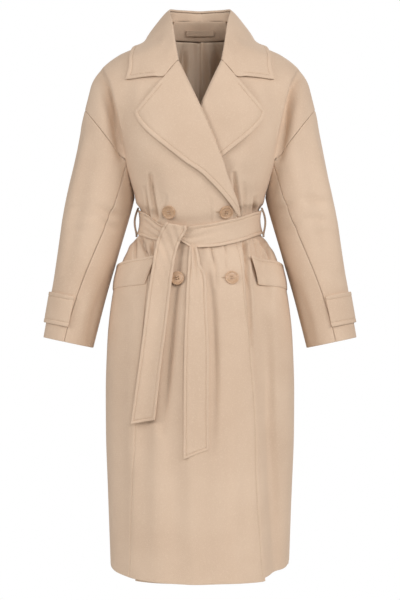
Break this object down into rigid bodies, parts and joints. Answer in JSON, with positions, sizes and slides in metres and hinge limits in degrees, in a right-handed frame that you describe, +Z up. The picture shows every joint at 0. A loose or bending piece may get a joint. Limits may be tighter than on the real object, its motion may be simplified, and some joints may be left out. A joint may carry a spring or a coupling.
{
  "type": "long wrap coat",
  "caption": "Double-breasted long wool coat with wide notched lapels, tied cloth belt, slanted welt pockets and cuff tabs, filled out as if worn.",
  "frame": {"origin": "between the shoulders at the height of the side neck points, on the middle of the coat", "axes": "+Z up, the front faces -Y, +X towards the wearer's left"},
  "size_m": [0.6548, 0.3356, 1.1896],
  "materials": {
    "coat_cloth": "soft brushed wool cloth, camel",
    "lining": "smooth woven lining, a shade darker",
    "buttons": "satin horn-coloured resin"
  },
  "bodies": {
    "root": {"back": "coat_cloth", "back_lining": "lining", "belt_loop_left": "coat_cloth", "belt_loop_right": "coat_cloth", "belt_round": "coat_cloth", "belt_tail_over": "coat_cloth", "belt_tail_under": "coat_cloth", "belt_wrap": "coat_cloth", "button_lower_left": "buttons", "button_lower_right": "buttons", "button_upper_left": "buttons", "button_upper_right": "buttons", "collar_fall": "coat_cloth", "collar_stand": "coat_cloth", "cuff_tab_left": "coat_cloth", "cuff_tab_right": "coat_cloth", "front_left": "coat_cloth", "front_right": "coat_cloth", "hanger_loop": "coat_cloth", "lapel_left": "coat_cloth", "lapel_right": "coat_cloth", "neck_facing": "coat_cloth", "pocket_welt_left": "coat_cloth", "pocket_welt_right": "coat_cloth", "side_front_right": "coat_cloth", "sleeve_under_left": "coat_cloth", "sleeve_under_right": "coat_cloth", "sleeve_upper_left": "coat_cloth", "sleeve_upper_right": "coat_cloth"}
  },
  "joints": []
}
